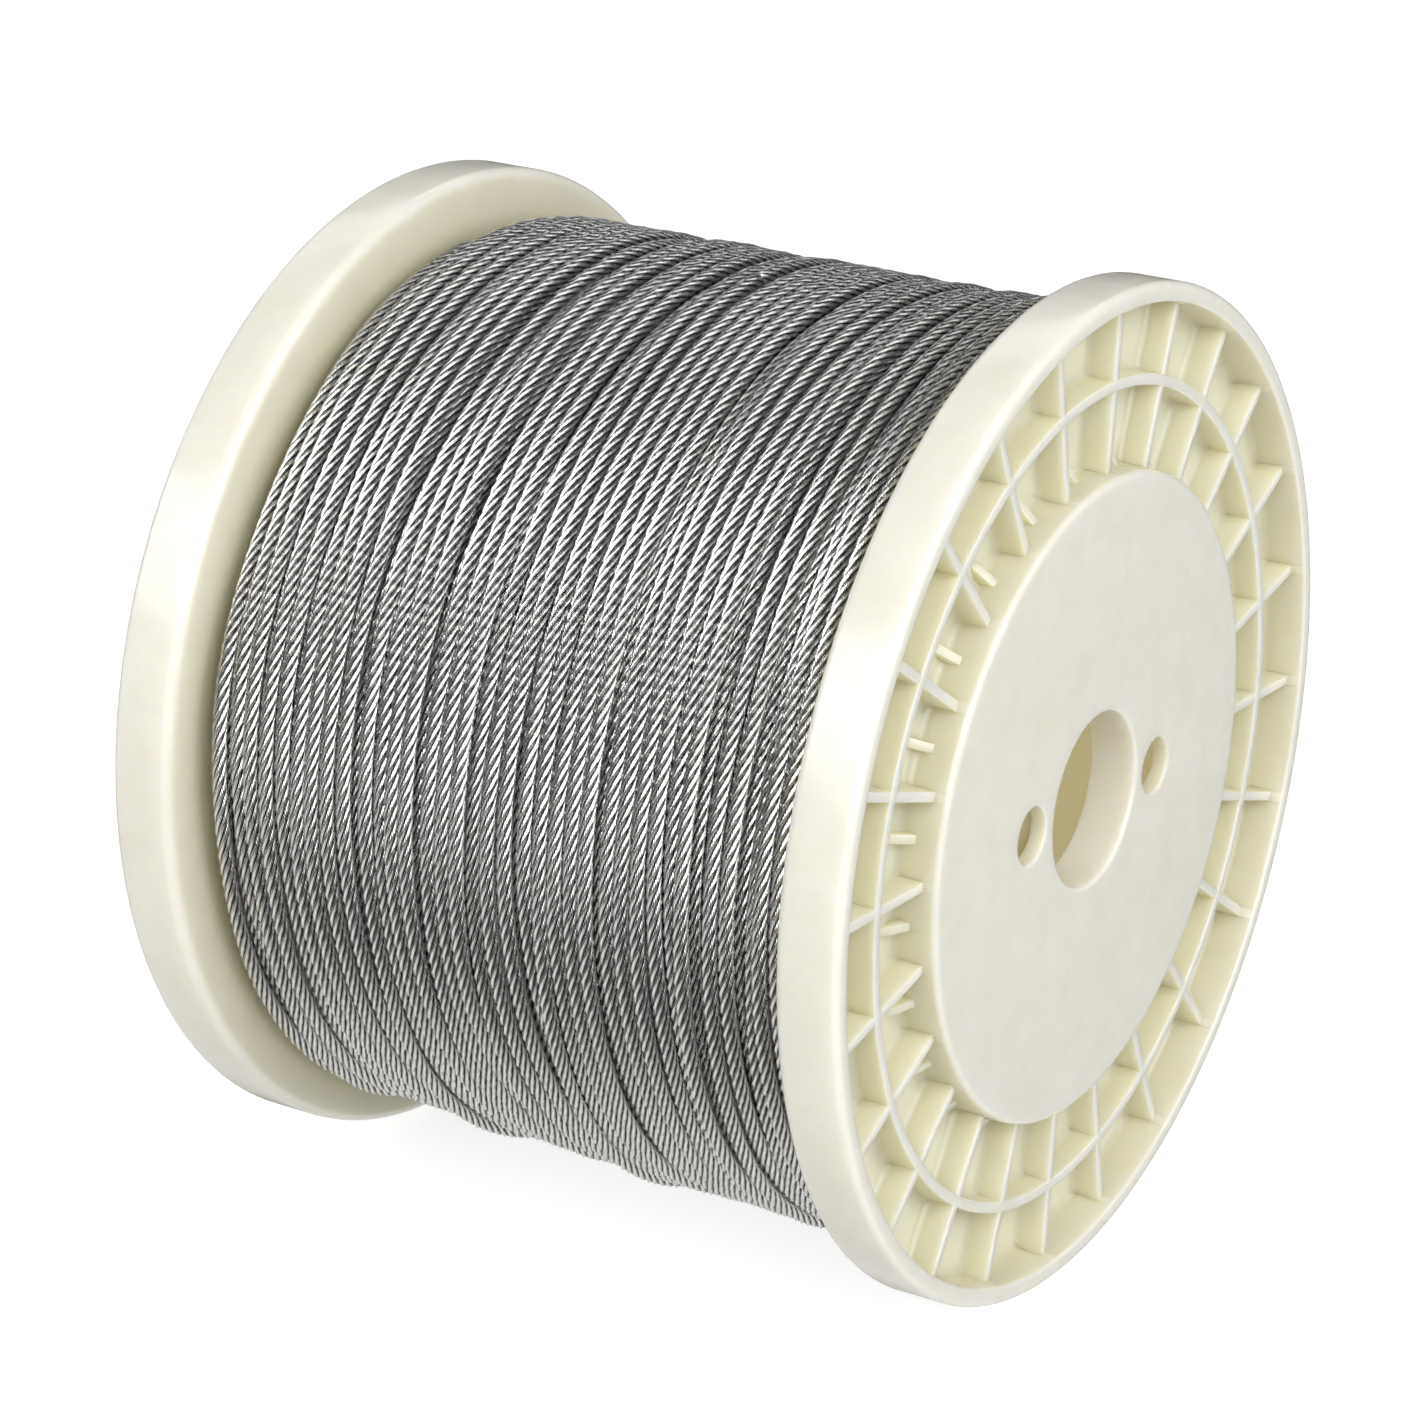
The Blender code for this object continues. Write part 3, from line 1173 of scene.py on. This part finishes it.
@dataclass(frozen=True)
class SoftBox:
    """One soft light: where it hangs as seen from the reel, how large and bright it is, and what it reaches.

    Angles are in degrees and lengths in metres. A box that isn't seen in metal leaves no streak in the wires,
    and one that isn't seen in plastic adds only a streak to them.
    """

    name: str
    azimuth: float
    elevation: float
    distance: float
    width: float
    height: float
    watts: float
    colour: str = "#ffffff"
    seen_in_metal: bool = True
    seen_in_plastic: bool = True


@dataclass
class Studio:
    """Floor, soft boxes, surroundings and camera."""

    floor_finish: bpy.types.Material
    surroundings: Sequence[tuple[float, str]] = (
        (0.0, "#b8b8b6"), (0.12, "#d0d0ce"), (0.18, "#a4a4a4"), (0.25, "#4a4a4a"), (0.4, "#303030"),
        (0.5, "#3c3d3f"), (0.62, "#4c4d4f"), (0.84, "#3c3d3f"), (0.95, "#303132"),
    )
    surroundings_strength: float = 1.5
    floor_reach: float = 6.0
    centre: tuple[float, float, float] = (0.0, 0.0, AXIS_HEIGHT * MM)
    camera_place: tuple[float, float, float] = (0.42485, -0.71596, 0.45547)
    camera_tilt: float = 23.01
    camera_turn: float = 31.13
    lens: float = 115.53
    sensor: float = 36.0
    lights: Sequence[SoftBox] = (
        SoftBox("key", -97.0, 31.5, 1.7, 4.0, 0.92, 36.0),
        SoftBox("key_card", -110.0, 33.0, 1.65, 3.2, 0.5, 7.0, seen_in_plastic=False),
        SoftBox("right", -12.0, 27.0, 1.9, 2.2, 1.5, 31.0),
        SoftBox("low_right", -20.0, -6.0, 1.9, 1.6, 1.0, 5.5, seen_in_metal=False),
        SoftBox("upper_right", -25.0, 55.0, 1.7, 1.2, 0.5, 3.0, seen_in_metal=False),
        SoftBox("low_left", -120.0, -10.0, 1.5, 2.4, 0.8, 2.6, seen_in_metal=False),
        SoftBox("back", 130.0, 14.0, 1.9, 4.0, 1.2, 18.0, seen_in_metal=False),
        SoftBox("top_strip", 126.0, 43.0, 1.6, 1.9, 0.4, 3.2),
    )

    def build(self) -> None:
        """Builds the studio."""
        self.floor()
        for light in self.lights:
            self.soft_box(light)
        self.world()
        self.camera()

    def floor(self) -> None:
        """Lays the pale floor."""
        shape = bmesh.new()
        bmesh.ops.create_grid(shape, x_segments=8, y_segments=8, size=self.floor_reach)
        mesh = bpy.data.meshes.new("studio_floor")
        shape.to_mesh(mesh)
        shape.free()
        mesh.materials.append(self.floor_finish)
        sheet = add_object("studio_floor", mesh)
        sheet.visible_glossy = False
        sheet.visible_diffuse = False
        sheet.visible_shadow = False

    def soft_box(self, light: SoftBox) -> None:
        """Hangs one soft box, turned to the reel."""
        data = bpy.data.lights.new(light.name, "AREA")
        data.shape = "RECTANGLE"
        data.size = light.width
        data.size_y = light.height
        data.energy = light.watts
        data.color = linear(light.colour)[:3]
        made = bpy.data.objects.new(light.name, data)
        bpy.context.scene.collection.objects.link(made)
        turn, rise = math.radians(light.azimuth), math.radians(light.elevation)
        towards = Vector((math.cos(rise) * math.cos(turn), math.cos(rise) * math.sin(turn), math.sin(rise)))
        made.location = Vector(self.centre) + towards * light.distance
        made.rotation_euler = towards.to_track_quat("Z", "Y").to_euler()
        made.visible_camera = False
        made.visible_glossy = light.seen_in_metal
        made.visible_diffuse = light.seen_in_plastic

    def world(self) -> None:
        """Surrounds the reel with a dim room, whose tones mirror in the wires from below to above."""
        world = bpy.data.worlds.new("studio_surroundings")
        world.use_nodes = True
        tree = world.node_tree
        tree.nodes.clear()
        place = add_node(tree, "ShaderNodeTexCoord")
        axes = add_node(tree, "ShaderNodeSeparateXYZ", None, {"Vector": (place, "Generated")})
        height = add_node(tree, "ShaderNodeMapRange", None, {
            "Value": (axes, "Z"), "From Min": -1.0, "From Max": 1.0,
        })
        walls = add_node(tree, "ShaderNodeValToRGB", None, {"Fac": (height, "Result")})
        stops = walls.color_ramp.elements
        for _ in self.surroundings[2:]:
            stops.new(0.5)
        for stop, (place_on_wall, colour) in zip(stops, self.surroundings):
            stop.position = place_on_wall
            stop.color = linear(colour)
        glow = add_node(tree, "ShaderNodeBackground", None, {
            "Color": (walls, "Color"), "Strength": self.surroundings_strength,
        })
        add_node(tree, "ShaderNodeOutputWorld", None, {"Surface": (glow, "Background")})
        bpy.context.scene.world = world

    def camera(self) -> None:
        """Puts the camera at the photo's viewing angle."""
        data = bpy.data.cameras.new("photo_camera")
        data.lens = self.lens
        data.sensor_width = self.sensor
        made = bpy.data.objects.new("photo_camera", data)
        bpy.context.scene.collection.objects.link(made)
        made.location = self.camera_place
        made.rotation_euler = (math.radians(90 - self.camera_tilt), 0.0, math.radians(self.camera_turn))
        bpy.context.scene.camera = made


def main() -> None:
    """Builds the reel and the studio."""
    logging.basicConfig(level=logging.INFO, format="%(name)s %(message)s")
    bpy.context.scene.view_settings.view_transform = "Standard"
    ivory = MouldedIvoryPlastic()
    Flange(Side.NEAR, "flange_near", ivory.build("moulded_ivory_abs_near")).build()
    Flange(Side.FAR, "flange_far", ivory.build("moulded_ivory_abs_far")).build()
    # The barrel emits a faint painted glow, which lights its bore
    Barrel(MouldedIvoryPlastic(painted_glow_strength=0.33).build("moulded_ivory_abs_barrel")).build()
    WoundRope(DrawnStainlessRope().build("drawn_stainless_wire_rope")).build()
    Studio(BacklitFloor().build("backlit_white_acrylic")).build()


if __name__ == "__main__":
    main()
